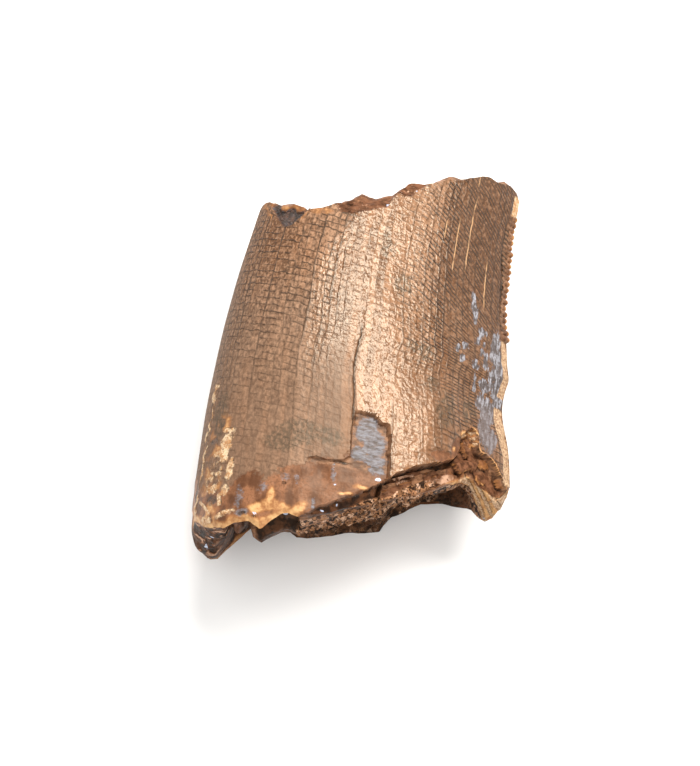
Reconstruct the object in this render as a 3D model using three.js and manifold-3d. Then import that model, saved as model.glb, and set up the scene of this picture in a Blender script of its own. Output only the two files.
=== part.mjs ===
// Fossil tyrannosaur tooth: a fragment from the middle of a crown, broken
// across at both ends. It lies on its flatter tongue side, lip side up.
// Millimetres. +X runs to the serrated edge (the carina), +Y to the missing
// tip, +Z up. The origin is under the middle of the fragment, on the table.
import * as THREE from 'three';
import { LoftGeometry } from 'three/addons/geometries/LoftGeometry.js';
import { mergeVertices } from 'three/addons/utils/BufferGeometryUtils.js';
import Module from 'manifold-3d';

// ---- Crown ----
const MESIAL_EDGE_X = -9.76;       // furthest point of the front edge of the crown
const MESIAL_EDGE_Y = -5;          // where along the crown it is furthest
const MESIAL_SWEEP = 0.0046;       // curvature of that edge towards the tip, 1/mm
const CARINA_LINE = [              // serrated edge: along the crown, out from the middle
  [-8, 11.2], [-6, 11.05], [-4.5, 10.85], [-3.1, 10.65], [-2.0, 10.43], [-1.0, 10.15],
  [-0.2, 9.95], [0.7, 9.85], [1.7, 9.92], [2.6, 10.08], [3.6, 9.9], [5.4, 9.65], [7, 9.4],
  [8.5, 9.26], [11, 9.21], [13, 9.25], [14.5, 9.3], [15.5, 9.46], [17.5, 9.55],
];
const LIP_HEIGHT = 6.0;            // bulge of the lip side above the edges, mid-crown
const LIP_TAPER = 0.055;           // loss of that height per mm towards the tip
const LIP_MESIAL_POWER = 0.5;      // round shoulder by the front edge
const LIP_CARINA_POWER = 0.8;      // nearly straight slope down to the carina
const LIP_SCALE = 1 / 0.4206;      // brings the bulge's highest point to 1
const TONGUE_DEPTH = 4.9;          // depth of the tongue side below the edges
const TONGUE_TAPER = 0.05;
const TONGUE_FLATNESS = 2.6;       // higher is a flatter underside
const TONGUE_MESIAL_POWER = 0.5;
const TONGUE_CARINA_POWER = 0.7;
const WORN_FLAT = 0.45;            // how far the underside is worn back to its rest face
const BOW = 0.7;                   // lengthways bow of the tooth over the table
const BOW_MIDDLE = 2.3;
const BOW_REACH = 12;
const MIDDLE_X = 0.8;              // heart of the section, which inner layers shrink towards
const MIDDLE_RISE = 0.6;

// ---- Breaks: distance along the crown against distance across it ----
const BASAL_LIP_LINE = [
  [-9.8, -9.2], [-9.4, -10.0], [-9.0, -10.5], [-8.55, -10.9], [-7.9, -11.15], [-7.2, -11.3],
  [-6.6, -11.0], [-5.6, -10.85], [-5.1, -11.2], [-4.75, -11.4], [-4.2, -10.9], [-3.5, -10.4],
  [-3.0, -10.3], [-2.4, -10.5], [-0.9, -9.9], [3.0, -8.3], [5.0, -7.3], [7.0, -6.0],
  [8.2, -4.9], [9.4, -5.4], [10.4, -5.5], [11.0, -4.7],
];
const BASAL_TONGUE_LINE = [
  [-9.8, -10.3], [-9.3, -11.0], [-8.4, -11.35], [-7.9, -11.1], [-7.4, -10.3], [-6.3, -8.8],
  [-5.5, -7.8], [-4.5, -7.65], [-3.6, -8.1], [-2.9, -8.55], [-1.2, -8.3], [0, -7.9], [2.6, -7.45],
  [3.1, -6.45], [5.0, -5.4], [6.6, -5.2], [7.3, -5.45], [8.4, -5.65], [8.9, -6.2], [9.5, -6.8],
  [10.0, -6.8], [10.4, -6.3], [11.0, -4.8],
];
const APICAL_LIP_LINE = [
  [-8.0, 13.4], [-7.1, 12.85], [-6.2, 12.25], [-5.75, 12.4], [-4.4, 11.7], [-3.7, 11.8],
  [-1.8, 12.75], [-1.2, 13.3], [-0.2, 12.95], [0.9, 13.3], [2.0, 14.95], [3.3, 15.1],
  [5.3, 16.1], [6.9, 17.45], [7.3, 17.6], [7.8, 17.45], [8.9, 17.4], [9.3, 17.1], [9.6, 16.5],
];
const APICAL_TONGUE_LINE = [
  [-8.3, 12.6], [-5.0, 11.4], [-1.0, 11.6], [3.0, 13.1], [7.0, 15.9], [8.9, 17.1], [9.3, 16.9],
  [9.6, 16.3],
];
const BREAK_FOOT = 1.0;            // heights between which a break passes from its
const BREAK_HEAD = 8.0;            // tongue-side line to its lip-side line
const FRACTURE_RELIEF = 0.22;      // unevenness of the broken dentine

// ---- Pulp cavity, open at the basal break ----
const PULP_X = 5.0;
const PULP_Z = 4.6;
const PULP_HALF_WIDTH = 3.5;
const PULP_HALF_HEIGHT = 1.9;
const PULP_END_Y = 1.5;            // the cavity's closed end, along the crown
const PULP_STEPS = [1.0, 0.94, 0.82, 0.6, 0];   // width left at each step inward
const CANAL_X = 1.2;               // the cavity's filled end in the apical break
const CANAL_Z = 4.6;
const CANAL_PIT = 0.5;

// ---- Surface ----
const ENAMEL = 0.36;               // thickness of the enamel skin
const CHIPS = [                    // outlines where the enamel has flaked away
  [[0.3, -3.0], [0.65, -2.8], [1.65, -2.9], [2.15, -3.35], [2.65, -3.5], [2.9, -5.1],
    [3.05, -7.0], [3.1, -12], [-2.5, -12], [-2.5, -8.4], [-2.25, -6.4], [-0.6, -6.4],
    [0.1, -6.3], [0.4, -5.95], [0.28, -4.9]],
  [[3.0, -12], [3.05, -7.0], [3.4, -6.6], [4.9, -5.65], [6.15, -5.1], [6.9, -4.6], [7.4, -3.7],
    [7.3, -3.1], [7.9, -1.9], [8.2, -1.95], [8.6, -3.1], [9.5, -3.5], [10.1, -4.3], [10.8, -5.3],
    [11.6, -5.9], [11.6, -12]],
  [[-7.7, 15], [-7.5, 12.9], [-6.75, 11.2], [-6.3, 10.55], [-5.9, 10.35], [-5.2, 10.85],
    [-4.5, 11.8], [-4.4, 15]],
  [[-3.2, 15], [-2.7, 11.85], [-2.35, 11.5], [-1.6, 11.5], [0.2, 12.3], [0.7, 12.4], [1.3, 13.8],
    [2.3, 13.7], [2.6, 14.3], [3.2, 14.9], [3.2, 17], [-3.2, 17]],
];
const CHIP_FLOOR = 5.5;            // chips stay on the lip side above this height
const CHIP_TOP = 14;
const DENTICLE_PITCH = 0.467;
const DENTICLE_COUNT = 21;
const DENTICLE_START = 5.6;        // along the crown
const DENTICLE_HALF = [0.28, 0.19, 0.4];
const DENTICLE_OUT = 0.02;         // how far a denticle's middle stands out of the edge
const DENTICLE_GRAIN = [6, 4];     // facets round and up a denticle

// ---- Facets ----
const AROUND = 56;
const UP = 25;
const BASAL_RINGS = 8;
const APICAL_RINGS = 6;
const RIM_PASSES = 14;
const BASAL_START = -8;            // first guesses for where the skin meets each break
const APICAL_START = 12;
const JOIN_GAP = 1e-4;             // corners nearer than this are one corner
const TABLE_SIZE = 80;             // block that stands for the table under the tooth

const clamp = THREE.MathUtils.clamp;
const smooth = (value, low, high) => THREE.MathUtils.smoothstep(value, low, high);

// Straight runs between the points of a ragged line.
function ragged(line, at) {
  let i = 0;
  while (i < line.length - 2 && at > line[i + 1][0]) {
    i += 1;
  }
  const [[x0, y0], [x1, y1]] = [line[i], line[i + 1]];
  return y0 + (y1 - y0) * clamp((at - x0) / (x1 - x0), 0, 1);
}

// A flowing line through the same kind of points.
function flowing(line, at) {
  let i = 0;
  while (i < line.length - 2 && at > line[i + 1][0]) {
    i += 1;
  }
  const slope = (k) => {
    const before = line[Math.max(k - 1, 0)];
    const after = line[Math.min(k + 1, line.length - 1)];
    return (after[1] - before[1]) / (after[0] - before[0]);
  };
  const [[x0, y0], [x1, y1]] = [line[i], line[i + 1]];
  const run = x1 - x0;
  const t = clamp((at - x0) / run, 0, 1);
  const rise = (y1 - y0) * t * t * (3 - 2 * t);
  return y0 + rise + run * t * (1 - t) * (slope(i) * (1 - t) - slope(i + 1) * t);
}

const mesialEdge = (y) => MESIAL_EDGE_X + MESIAL_SWEEP * (y - MESIAL_EDGE_Y) ** 2;
const carinaEdge = (y) => flowing(CARINA_LINE, y);
const tongueDepth = (y) => TONGUE_DEPTH - TONGUE_TAPER * y;
const bowRise = (y) => BOW * (1 - ((y - BOW_MIDDLE) / BOW_REACH) ** 2);
const edgeHeight = (y) => tongueDepth(y) - WORN_FLAT + bowRise(y);

function bulge(across) {
  return LIP_SCALE * across ** LIP_MESIAL_POWER * (1 - across) ** LIP_CARINA_POWER;
}

function belly(across) {
  const power = across > 0.5 ? TONGUE_CARINA_POWER : TONGUE_MESIAL_POWER;
  return (1 - Math.abs(2 * across - 1) ** TONGUE_FLATNESS) ** power;
}

// A point of the skin of the crown, or of a layer some way under it. Angle 0 is the
// carina, the lip side runs from 0 to 180 degrees and the tongue side from 180 to 360.
function skin(angle, y, under) {
  const across = (1 + Math.cos(angle)) / 2;
  const height = Math.sin(angle) >= 0
    ? (LIP_HEIGHT - LIP_TAPER * y) * bulge(across)
    : -tongueDepth(y) * belly(across);
  const x = THREE.MathUtils.lerp(mesialEdge(y), carinaEdge(y), across);
  const middle = new THREE.Vector3(MIDDLE_X, y, edgeHeight(y) + MIDDLE_RISE);
  const point = new THREE.Vector3(x, y, edgeHeight(y) + height);
  return point.lerp(middle, under / point.distanceTo(middle));
}

// Uneven broken dentine: slow crossing waves, strongest away from the rim.
const relief = (x, z) => FRACTURE_RELIEF
  * (Math.sin(2.1 * x + 1.3 * z) + Math.sin(1.1 * x - 2.7 * z + 1) + Math.sin(3.3 * x + 2.2));

function breakHeight(tongueLine, lipLine, x, z) {
  const up = smooth(z, BREAK_FOOT, BREAK_HEAD);
  return ragged(tongueLine, x) * (1 - up) + ragged(lipLine, x) * up;
}

const basalBreak = (x, z) => breakHeight(BASAL_TONGUE_LINE, BASAL_LIP_LINE, x, z);
const apicalBreak = (x, z) => breakHeight(APICAL_TONGUE_LINE, APICAL_LIP_LINE, x, z);

// Where the skin meets a break, found by stepping the point onto the break.
function rim(angle, breakSurface, start, under) {
  let y = start;
  for (let pass = 0; pass < RIM_PASSES; pass += 1) {
    const point = skin(angle, y, under);
    y = (y + breakSurface(point.x, point.z)) / 2;
  }
  return skin(angle, y, under);
}

// Angles of the columns of facets, once round the section.
const turns = [...Array(AROUND).keys()].map((i) => 2 * Math.PI * ((AROUND - i) % AROUND) / AROUND);

// One ring of a broken face, part of the way in from the rim to an inner outline.
function brokenRing(rimRing, inner, part, breakSurface) {
  return rimRing.map((point, i) => {
    const x = THREE.MathUtils.lerp(point.x, inner[i].x, part);
    const z = THREE.MathUtils.lerp(point.z, inner[i].z, part);
    return new THREE.Vector3(x, breakSurface(x, z) + relief(x, z), z);
  });
}

function crownRings(under) {
  const basalRim = turns.map((angle) => rim(angle, basalBreak, BASAL_START, under));
  const apicalRim = turns.map((angle) => rim(angle, apicalBreak, APICAL_START, under));
  const pulpMouth = turns.map((angle) => new THREE.Vector3(
    PULP_X + PULP_HALF_WIDTH * Math.cos(angle), 0, PULP_Z + PULP_HALF_HEIGHT * Math.sin(angle),
  ));
  const canal = turns.map(() => new THREE.Vector3(CANAL_X, 0, CANAL_Z));
  const rings = [];
  for (let step = PULP_STEPS.length - 1; step >= 1; step -= 1) {
    const inward = step / (PULP_STEPS.length - 1);
    rings.push(pulpMouth.map((point) => new THREE.Vector3(
      THREE.MathUtils.lerp(PULP_X, point.x, PULP_STEPS[step]),
      THREE.MathUtils.lerp(basalBreak(point.x, point.z), PULP_END_Y, inward),
      THREE.MathUtils.lerp(PULP_Z, point.z, PULP_STEPS[step]),
    )));
  }
  for (let ring = BASAL_RINGS; ring >= 1; ring -= 1) {
    rings.push(brokenRing(basalRim, pulpMouth, ring / BASAL_RINGS, basalBreak));
  }
  for (let ring = 0; ring <= UP; ring += 1) {
    rings.push(turns.map((angle, i) => skin(
      angle, THREE.MathUtils.lerp(basalRim[i].y, apicalRim[i].y, ring / UP), under,
    )));
  }
  for (let ring = 1; ring <= APICAL_RINGS; ring += 1) {
    rings.push(brokenRing(apicalRim, canal, ring / APICAL_RINGS, apicalBreak));
  }
  for (const point of rings[rings.length - 1]) {
    point.y -= CANAL_PIT;
  }
  return rings;
}

const wasm = await Module();
wasm.setup();

// Joins a geometry into one closed skin, leaving out facets of no size.
function solid(geometry) {
  const skinOnly = new THREE.BufferGeometry().copy(geometry);
  skinOnly.deleteAttribute('normal');
  skinOnly.deleteAttribute('uv');
  const joined = mergeVertices(skinOnly, JOIN_GAP);
  const facets = [];
  for (let i = 0; i < joined.index.count; i += 3) {
    const [a, b, c] = joined.index.array.slice(i, i + 3);
    if (a !== b && b !== c && c !== a) {
      facets.push(a, b, c);
    }
  }
  return new wasm.Manifold(new wasm.Mesh({
    numProp: 3,
    vertProperties: new Float32Array(joined.attributes.position.array),
    triVerts: new Uint32Array(facets),
  }));
}

function toGeometry(manifold) {
  const mesh = manifold.getMesh();
  const geometry = new THREE.BufferGeometry();
  geometry.setAttribute('position', new THREE.BufferAttribute(mesh.vertProperties, 3));
  geometry.setIndex(new THREE.BufferAttribute(mesh.triVerts, 1));
  return geometry;
}

function chipBlock(outline) {
  const shape = new THREE.Shape(outline.map(([x, y]) => new THREE.Vector2(x, y)));
  const block = new THREE.ExtrudeGeometry(shape, { depth: CHIP_TOP - CHIP_FLOOR, bevelEnabled: false });
  return block.translate(0, 0, CHIP_FLOOR);
}

function denticle(index) {
  const y = DENTICLE_START + index * DENTICLE_PITCH;
  const bead = new THREE.SphereGeometry(1, ...DENTICLE_GRAIN);
  bead.scale(...DENTICLE_HALF);
  return bead.translate(carinaEdge(y) + DENTICLE_OUT, y, edgeHeight(y));
}

function toothFragment() {
  const dentine = solid(new LoftGeometry(crownRings(ENAMEL)));
  let tooth = solid(new LoftGeometry(crownRings(0)));
  for (const outline of CHIPS) {
    tooth = tooth.subtract(solid(chipBlock(outline)).subtract(dentine));
  }
  for (let index = 0; index < DENTICLE_COUNT; index += 1) {
    tooth = tooth.add(solid(denticle(index)));
  }
  const table = new THREE.BoxGeometry(TABLE_SIZE, TABLE_SIZE, TABLE_SIZE).translate(0, 0, -TABLE_SIZE / 2);
  return toGeometry(tooth.subtract(solid(table)));
}

const geometry = toothFragment();
geometry.computeBoundingBox();
const box = geometry.boundingBox;
geometry.translate(-(box.min.x + box.max.x) / 2, -(box.min.y + box.max.y) / 2, -box.min.z);
geometry.computeVertexNormals();

const fossilEnamel = new THREE.MeshStandardMaterial({
  color: 0x8f6645,
  roughness: 0.42,
  metalness: 0,
});
const tooth = new THREE.Mesh(geometry, fossilEnamel);
tooth.name = 'tooth_fragment';

const part = new THREE.Group();
part.name = 'fossil_tooth';
part.add(tooth);

export default part;
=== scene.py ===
"""Fossil tyrannosaur tooth: a broken piece from the middle of a crown.

Lengths of the tooth are in millimetres in its own plan, +X to the serrated edge,
+Y to the missing tip and +Z up; the finished mesh is in metres in the row frame.
"""

import math

import bmesh
import bpy
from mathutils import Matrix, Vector, noise


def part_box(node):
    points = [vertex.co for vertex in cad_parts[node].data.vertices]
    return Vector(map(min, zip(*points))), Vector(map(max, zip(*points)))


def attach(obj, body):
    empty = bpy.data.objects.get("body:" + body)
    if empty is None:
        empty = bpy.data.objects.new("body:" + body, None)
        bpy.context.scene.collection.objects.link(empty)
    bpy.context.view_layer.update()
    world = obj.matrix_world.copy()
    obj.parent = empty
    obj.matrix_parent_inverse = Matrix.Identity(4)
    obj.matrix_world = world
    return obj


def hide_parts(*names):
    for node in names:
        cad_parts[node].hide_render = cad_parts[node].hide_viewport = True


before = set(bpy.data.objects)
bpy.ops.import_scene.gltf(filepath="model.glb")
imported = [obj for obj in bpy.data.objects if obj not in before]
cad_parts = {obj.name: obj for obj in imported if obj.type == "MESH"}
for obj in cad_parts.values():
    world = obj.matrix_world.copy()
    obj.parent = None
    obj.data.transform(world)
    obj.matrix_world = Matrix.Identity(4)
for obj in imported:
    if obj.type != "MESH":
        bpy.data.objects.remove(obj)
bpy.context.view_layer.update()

NODE = "tooth_fragment"
MM = 0.001

# ---- Crown ----
MESIAL_EDGE_X = -9.76
MESIAL_EDGE_Y = -5
MESIAL_SWEEP = 0.0046
CARINA_LINE = (
    (-8, 11.2), (-6, 11.05), (-4.5, 10.85), (-3.1, 10.65), (-2, 10.43), (-1, 10.15),
    (-0.2, 9.95), (0.7, 9.85), (1.7, 9.92), (2.6, 10.08), (3.6, 9.9), (5.4, 9.65), (7, 9.4),
    (8.5, 9.26), (11, 9.21), (13, 9.25), (14.5, 9.3), (15.5, 9.46), (17.5, 9.55),
)
LIP_HEIGHT = 6
LIP_TAPER = 0.055
LIP_SCALE = 1 / 0.4206
TONGUE_DEPTH = 4.9
TONGUE_TAPER = 0.05
TONGUE_FLATNESS = 2.6
WORN_FLAT = 0.45
BOW = 0.7
BOW_MIDDLE = 2.3
BOW_REACH = 12
SERRATION_PITCH = 0.467
SERRATION_COUNT = 21
SERRATION_START = 5.37
SERRATION_OUT = 0.3
PLAN_MIDDLE = (0.574, 2.865)

# ---- Breaks ----
BASAL_LIP_LINE = (
    (-9.8, -9.2), (-9.4, -10), (-9, -10.5), (-8.55, -10.9), (-7.9, -11.15), (-7.2, -11.3),
    (-6.6, -11), (-5.6, -10.85), (-5.1, -11.2), (-4.75, -11.4), (-4.2, -10.9), (-3.5, -10.4),
    (-3, -10.3), (-2.4, -10.5), (-0.9, -9.9), (3, -8.3), (5, -7.3), (7, -6),
    (8.2, -4.9), (9.4, -5.4), (10.4, -5.5), (11, -4.7),
)
BASAL_TONGUE_LINE = (
    (-9.8, -10.3), (-9.3, -11), (-8.4, -11.35), (-7.9, -11.1), (-7.4, -10.3), (-6.3, -8.8),
    (-5.5, -7.8), (-4.5, -7.65), (-3.6, -8.1), (-2.9, -8.55), (-1.2, -8.3), (0, -7.9), (2.6, -7.45),
    (3.1, -6.45), (5, -5.4), (6.6, -5.2), (7.3, -5.45), (8.4, -5.65), (8.9, -6.2), (9.5, -6.8),
    (10, -6.8), (10.4, -6.3), (11, -4.8),
)
APICAL_LIP_LINE = (
    (-8, 13.4), (-7.1, 12.85), (-6.2, 12.25), (-5.75, 12.4), (-4.4, 11.7), (-3.7, 11.8),
    (-1.8, 12.75), (-1.2, 13.3), (-0.2, 12.95), (0.9, 13.3), (2, 14.95), (3.3, 15.1),
    (5.3, 16.1), (6.9, 17.45), (7.3, 17.6), (7.8, 17.45), (8.9, 17.4), (9.3, 17.1), (9.6, 16.5),
)
APICAL_TONGUE_LINE = (
    (-8.3, 12.6), (-5, 11.4), (-1, 11.6), (3, 13.1), (7, 15.9), (8.9, 17.1), (9.3, 16.9),
    (9.6, 16.3),
)
BREAK_FOOT = 1
BREAK_HEAD = 8
BASAL_STATION = -8
APICAL_STATION = 13
PULP = (5, 4.6)
PULP_HALF = (3.5, 1.9)
PULP_END_Y = 1.5
CANAL = (1.2, 4.6)
CANAL_HALF = (2.6, 0.9)
SPLINTER_WIDTH = 0.36

# ---- Places where the enamel has flaked off: outline across and along the crown ----
WINDOW = (
    (0.3, -3), (0.65, -2.8), (1.05, -2.9), (1.65, -2.9), (1.75, -3.1), (2, -3.15), (2.15, -3.35),
    (2.65, -3.5), (2.75, -3.8), (2.9, -5.1), (3.05, -7), (2, -8), (-1.5, -9.9), (-2.4, -10.2),
    (-2.5, -8.4), (-2.25, -6.4), (-1.6, -6.37), (-0.6, -6.4), (0.1, -6.3), (0.4, -5.95), (0.28, -4.9),
    (0.28, -3.9),
)
FRONT_SHELF = (
    (-2, -10.25), (-1.6, -9.9), (-1.2, -9.55), (0.4, -8.75), (1.3, -8.2), (2.7, -7.3), (3.1, -6.95),
    (3.4, -6.6), (4, -6.2), (4.9, -5.65), (5.5, -5.35), (6.15, -5.1), (6.9, -4.6), (7.2, -4.25),
    (7.4, -3.7), (7.3, -3.1), (7.55, -2.45), (7.9, -1.9), (8.2, -1.95), (8.45, -2.4), (8.6, -3.1),
    (8.7, -3.4), (9.15, -3.45), (9.5, -3.5), (9.7, -3.8), (10, -4.15), (10.3, -4.6),
    (10.65, -5.05), (10.8, -5.6), (11.6, -5.9), (11.6, -13), (-2.4, -13),
)
# pieces of the broken wall on that shelf: outline, depth below the enamel, what shows and how much
CORNER_PIECES = (
    (((3.1, -6.95), (3.5, -6.68), (4, -6.42), (4.85, -6.05), (4.85, -6.3), (4.05, -6.58),
      (3.5, -6.85)),
     0.5, "pale", 0.6),
    (((6.5, -6.3), (6.5, -5.85), (6.9, -5.5), (7.4, -5.35), (7.6, -5.7), (7.4, -6.05), (7, -6.3)),
     0.52, "pale", 0.7),
    (((6.8, -5), (6.9, -4.5), (7.25, -3.95), (7.45, -3.6), (7.55, -3.95), (7.3, -4.4), (7.25, -4.8)),
     0.95, "tar", 0.8),
    (((7.5, -3), (7.65, -2.85), (7.9, -3.25), (8.1, -3.65), (8.25, -3.9), (8.05, -4.05), (7.8, -3.65),
      (7.6, -3.4)),
     0.4, "golden", 0.5),
    (((7.25, -4.65), (7.4, -4.5), (8.05, -4.1), (8.75, -3.9), (8.95, -4.05), (8.9, -4.4), (8.8, -4.65),
      (8.45, -4.7), (8.15, -4.9), (7.9, -5.1), (7.55, -5.1), (7.4, -4.9)),
     0.35, "brown", 1),
    (((8.9, -4.75), (9.5, -4.4), (9.8, -4.6), (9.95, -4.95), (9.7, -5.25), (9.3, -5.3), (9, -5.1)),
     0.6, "brown", 1),
    (((8.9, -3.7), (9.35, -3.6), (9.6, -3.8), (9.75, -4.1), (9.5, -4.35), (9.1, -4.35), (8.9, -4.05)),
     0.42, "golden", 0.5),
    (((10.1, -4.4), (10.35, -4.6), (10.6, -4.95), (10.7, -5.2), (10.4, -5.2), (10.2, -4.7)),
     0.2, "golden", 0.6),
)
SPLINTER_RIDGE = ((8, -4.95), (8.3, -5.05), (8.75, -5.35), (9.2, -5.65), (9.7, -6.05))
SPLINTER_CRACK = ((7.6, -5.2), (7.9, -5.2), (8.3, -5.4), (8.8, -5.65), (9.3, -6))
GREY_NOTCH = (
    (-7.7, 15), (-7.5, 12.9), (-7.15, 12), (-6.75, 11.2), (-6.3, 10.55), (-5.9, 10.35),
    (-5.5, 10.5), (-5.2, 10.85), (-4.8, 11.35), (-4.5, 11.8), (-4.4, 15),
)
TIP_FLAKE = (
    (-3.2, 15), (-2.7, 11.85), (-2.35, 11.5), (-1.6, 11.5), (-1, 11.8), (-0.4, 11.95),
    (0.2, 12.3), (0.7, 12.4), (1, 13.1), (1.3, 13.8), (1.7, 13.65), (2.3, 13.7), (2.6, 14.3),
    (3.2, 14.9), (3.2, 17), (-3.2, 17),
)
EDGE_SNAP = 0.07
REACH_ROUND = 0.3

# ---- Patches: middle across and along, half sizes, how far they lean ----
LEACHED = (
    (7.25, 6.8, 0.22, 1.2, -0.19), (8, 5.15, 0.28, 0.45), (7.72, 4.4, 0.18, 0.4),
    (6.44, 3.4, 0.2, 0.3), (6.96, 3.65, 0.2, 0.35), (6.86, 2.7, 0.2, 0.35), (7.76, 2.6, 0.28, 0.4),
    (7.82, 1.4, 0.12, 0.7), (8.2, 4.3, 0.12, 0.2), (8.13, 3.7, 0.12, 0.25), (8.44, 3.1, 0.22, 0.55),
    (8.5, 1.4, 0.35, 0.5), (8.95, 4.5, 0.32, 1.2), (9.3, 3.4, 0.34, 1.2), (9.25, 2.2, 0.5, 1.1),
    (9.45, 1.1, 0.4, 0.8), (8.4, 0.2, 0.4, 0.6), (8.95, -0.3, 0.5, 1),
    (8.8, -1.8, 0.4, 1.2, -0.1), (9.3, -2.4, 0.4, 1), (9.5, 0.4, 0.4, 0.6),
)
MATRIX = (
    (-9.05, -1.9, 0.16, 0.45), (-9, -1.2, 0.1, 0.25), (-9.05, -3.4, 0.06, 1.1, 0.05),
    (-7.6, -4.65, 0.5, 0.16), (-7.65, -5.55, 0.42, 0.7), (-7.7, -6.4, 0.32, 0.5),
    (-7.2, -7.4, 0.24, 0.8, 0.1), (-8.2, -8.55, 0.34, 0.36), (-8.4, -7.65, 0.2, 0.35),
    (-7.95, -7.55, 0.2, 0.2), (-7.34, -8.75, 0.26, 0.42), (-7.6, -9.35, 0.22, 0.5),
    (-8.55, -9.7, 0.14, 0.6, -0.7), (-8.45, -10.55, 0.4, 0.3), (-7.4, -10.4, 0.36, 0.3, 0.6),
    (-6.8, -10.25, 0.4, 0.2, 0.6), (-8.05, -6.2, 0.4, 0.3, 0.4), (-9.15, -6.5, 0.08, 1.5, 0.03),
    (-9.25, -9.3, 0.1, 0.9), (-9.2, -4.6, 0.14, 0.4),
)
STAINED = (
    (3.5, 2.6, 0.35, 0.4), (4.3, 2.4, 0.5, 0.6), (4.9, 0.1, 0.4, 0.6), (-3, -4.8, 1.6, 0.8),
    (-1, -4.9, 0.9, 0.6), (-4, -5.5, 1.1, 0.7), (1, 9.6, 0.5, 1.2, -0.1),
    (6, -1.5, 0.6, 1.4), (7.6, -0.8, 0.4, 1), (2.3, 6.8, 0.6, 0.9), (-8.4, -3.4, 0.4, 1.6),
)
GOLDEN = (
    (-4.27, -9.15, 0.26, 0.55), (-5.1, -10.1, 0.6, 0.36), (-4.2, -9.85, 0.7, 0.45),
    (-3.5, -10.05, 0.6, 0.35), (-2.35, -9.9, 0.4, 0.55, 0.5), (-7.85, -10.7, 0.2, 0.45),
    (1.4, -7.9, 0.5, 0.2, 0.5), (0.5, -8.5, 0.5, 0.14, 0.6), (6.9, -3.95, 0.15, 0.2),
    (7.45, -2.6, 0.18, 0.25), (-3.6, 11.6, 0.9, 0.3, 0.3), (-7.4, 12, 0.12, 0.8, -0.45),
    (-4.75, 11.2, 0.12, 0.4, 0.6), (-7.75, 12.9, 0.2, 0.4), (-5.2, -11, 0.5, 0.4),
    (8.15, -2.6, 0.12, 0.5, 0.15), (-4.4, -10.8, 0.5, 0.25, 0.6),
)
SMOKY = (
    (1.3, -4, 0.7, 0.9, 0.1), (1.9, -4.9, 0.7, 0.9), (1, -5.7, 0.55, 0.5),
    (2, -6, 0.8, 0.4), (2.2, -6.7, 0.5, 0.4), (-0.5, -7.3, 0.14, 0.75, -0.1),
    (-1.5, -9.5, 0.16, 0.45), (-5.45, -6.4, 0.25, 0.3), (-5.3, -7.4, 0.22, 0.3),
    (-3.55, -7.9, 0.35, 0.35), (-2.75, -8.05, 0.22, 0.5), (-4.9, -8.6, 0.4, 0.5),
    (-6.3, -9.3, 0.3, 0.9), (-6.05, -10.35, 0.5, 0.28, 0.4),
)
DARK_SPOTS = (
    (-8.14, -9.3, 0.42, 0.42), (-6, -10.4, 0.3, 0.16, 0.4), (0.5, -3.3, 0.16, 0.2),
    (-3.54, -8.32, 0.2, 0.16), (0.1, -6.5, 0.6, 0.1), (9.08, 15.7, 0.06, 0.7, 0.05),
    (-9.35, -8.3, 0.1, 0.9), (-9.3, -6.8, 0.05, 1, 0.03), (-5.2, -10.6, 0.25, 0.08, -0.5),
    (7.95, -2.42, 0.22, 0.16, 0.3), (-8.6, -5.2, 0.3, 0.3),
)
# painted glints: pale spots that stand in for highlights
PAINTED_GLINTS = (
    (2.4, -7.2, 0.2, 0.11, 0.5), (-0.52, -6.88, 0.05, 0.05), (-0.3, -8.05, 0.05, 0.06),
    (-5.2, -10.4, 0.14, 0.06), (-0.9, -9.75, 0.09, 0.05, -1), (0.05, -9.25, 0.08, 0.06),
    (0.7, 12.75, 0.08, 0.14, -0.3), (2.5, 14.2, 0.06, 0.12),
)
# the same on the basal face, across and up
FACE_PAINTED_GLINTS = (
    (-8.42, 4.9, 0.1, 0.3), (-8, 6.5, 0.1, 0.3), (-3.33, 8.8, 0.1, 0.2), (-3.4, 10.6, 0.08, 0.1),
    (-2.9, 10.5, 0.07, 0.14), (9.48, 3.2, 0.06, 0.2, -0.4),
)

# ---- Mesh ----
LIP_COLUMNS = 220
TONGUE_COLUMNS = 76
CAVITY_ROWS = 10
BASAL_ROWS = 52
CROWN_ROWS = 232
APICAL_ROWS = 20
CAVITY_ROUNDNESS = 0.6
RIM_CROWDING = 1.35
RIM_PASSES = 14
BASAL_START, APICAL_START = -8, 12
GIRTH_Y = 3
GIRTH_FROM = -6.5
FACE_LAYERED = 0.9
SHARP_ANGLE = 48

# what is kept for every point: its place in the pattern, then shares from 0 to 1 of what shows
MASKS = (
    "across", "along", "enamel", "dentine", "leached", "matrix", "bare", "golden", "brown",
    "pale", "smoky", "stained", "layered", "crystal", "tar", "glint",
)


def clamp(value, low=0, high=1):
    return min(max(value, low), high)


def smooth(value, low, high):
    t = clamp((value - low) / (high - low))
    return t * t * (3 - 2 * t)


def fade(value, low, high):
    return 1 - smooth(value, low, high)


def span(value, low, full, still_full, high):
    """1 between two places, 0 beyond them."""
    return smooth(value, low, full) * fade(value, still_full, high)


def blend(a, b, part):
    return a + (b - a) * part


def bell(value, middle, width):
    return math.exp(-(((value - middle) / width) ** 2))


def wander(x, y, pitch, seed, z=0):
    """Smooth noise from -1 to 1 whose lumps are about pitch across."""
    return noise.noise(Vector((x / pitch + seed, y / pitch - seed, z / pitch + 2 * seed)))


def nuggets(x, y, z, pitch, seed=0):
    """Distance from the middle of the nearest of many small stones, 0 to about 1."""
    return noise.voronoi(Vector((x / pitch + seed, y / pitch, z / pitch)))[0][0]


def ragged(line, at):
    """Straight runs between the points of a broken line."""
    for (x0, y0), (x1, y1) in zip(line, line[1:]):
        if at <= x1:
            break
    return blend(y0, y1, clamp((at - x0) / (x1 - x0)))


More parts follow.
